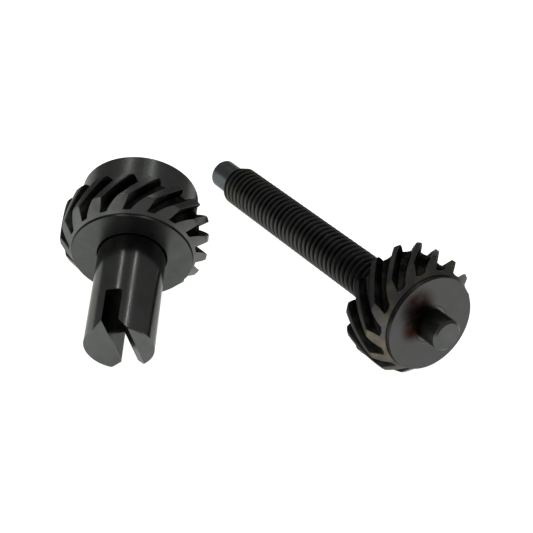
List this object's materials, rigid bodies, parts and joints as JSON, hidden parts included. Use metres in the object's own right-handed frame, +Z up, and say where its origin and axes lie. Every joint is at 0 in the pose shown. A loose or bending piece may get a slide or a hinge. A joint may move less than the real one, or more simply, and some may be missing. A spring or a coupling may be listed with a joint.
{
  "type": "crossed helical gear pair",
  "caption": "Right-angle helical gear pair: a slotted pinion turns a threaded spindle whose end gear meshes with it, for a screw adjuster.",
  "frame": {"origin": "centre of the bounding box at its base, on the surface that both pieces lie on", "axes": "+Z up; +X along the spindle in plan, from its dog point to its gear; the pinion lies on the -Y side"},
  "size_m": [0.0536, 0.0464, 0.0187],
  "materials": {
    "threaded_spindle": "blackened steel, lightly oiled, satin",
    "screw_gear": "blackened sintered steel, satin, slight tan oil stains",
    "slotted_shaft": "blackened turned steel, satin gloss",
    "pinion_gear": "blackened steel, satin gloss"
  },
  "bodies": {
    "screw": {"threaded_spindle": "threaded_spindle", "screw_gear": "screw_gear"},
    "pinion": {"slotted_shaft": "slotted_shaft", "pinion_gear": "pinion_gear"}
  },
  "joints": [
    {"name": "pinion_spin", "type": "hinge", "parent": "screw", "child": "pinion", "pos_m": [-0.00251, -0.01253, 0.00827], "axis": [-0.8135, 0.5004, 0.2963], "continuous": true}
  ]
}
